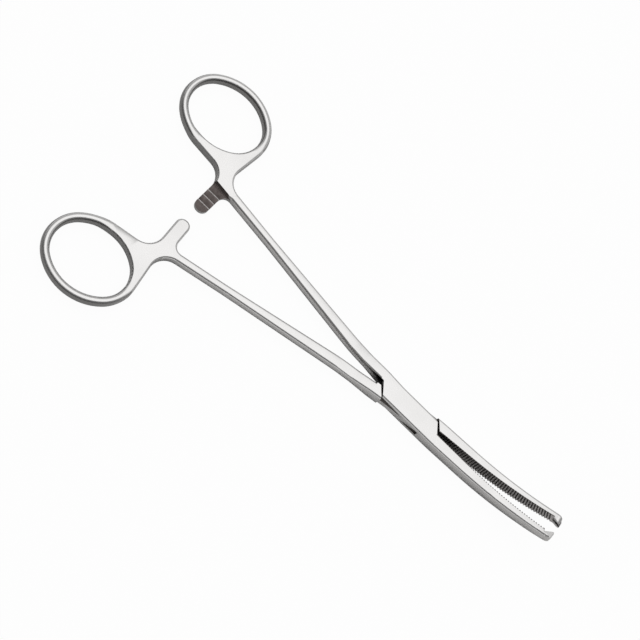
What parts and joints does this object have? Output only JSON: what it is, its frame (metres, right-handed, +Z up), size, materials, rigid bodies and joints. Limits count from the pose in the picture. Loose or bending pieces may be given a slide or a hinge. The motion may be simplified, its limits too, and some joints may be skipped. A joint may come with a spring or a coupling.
{
  "type": "artery forceps",
  "caption": "Curved locking artery forceps with a box lock, finger rings, a ratchet, serrated jaws and interlocking teeth at the tips.",
  "frame": {"origin": "on the pivot axis, at the underside of the box, which is the face it lies on", "axes": "+X midway between the open jaws, towards the tips; +Z up along the rivet, the way the tips curve; +Y towards the box half's finger ring"},
  "size_m": [0.159, 0.0838, 0.0109],
  "materials": {
    "forged_steel": "satin-polished stainless steel, matt grey-brown in the ratchet teeth",
    "rivet_steel": "ground flush with the box and polished with it"
  },
  "bodies": {
    "box_body": {"box_half": "forged_steel", "lock_rivet": "rivet_steel"},
    "tongue_body": {"tongue_half": "forged_steel"}
  },
  "joints": [
    {"name": "box_lock_pivot", "type": "hinge", "parent": "box_body", "child": "tongue_body", "pos_m": [0, 0, 0.00265], "axis": [0, 0, 1], "range_deg": [-5.2, 50]}
  ]
}
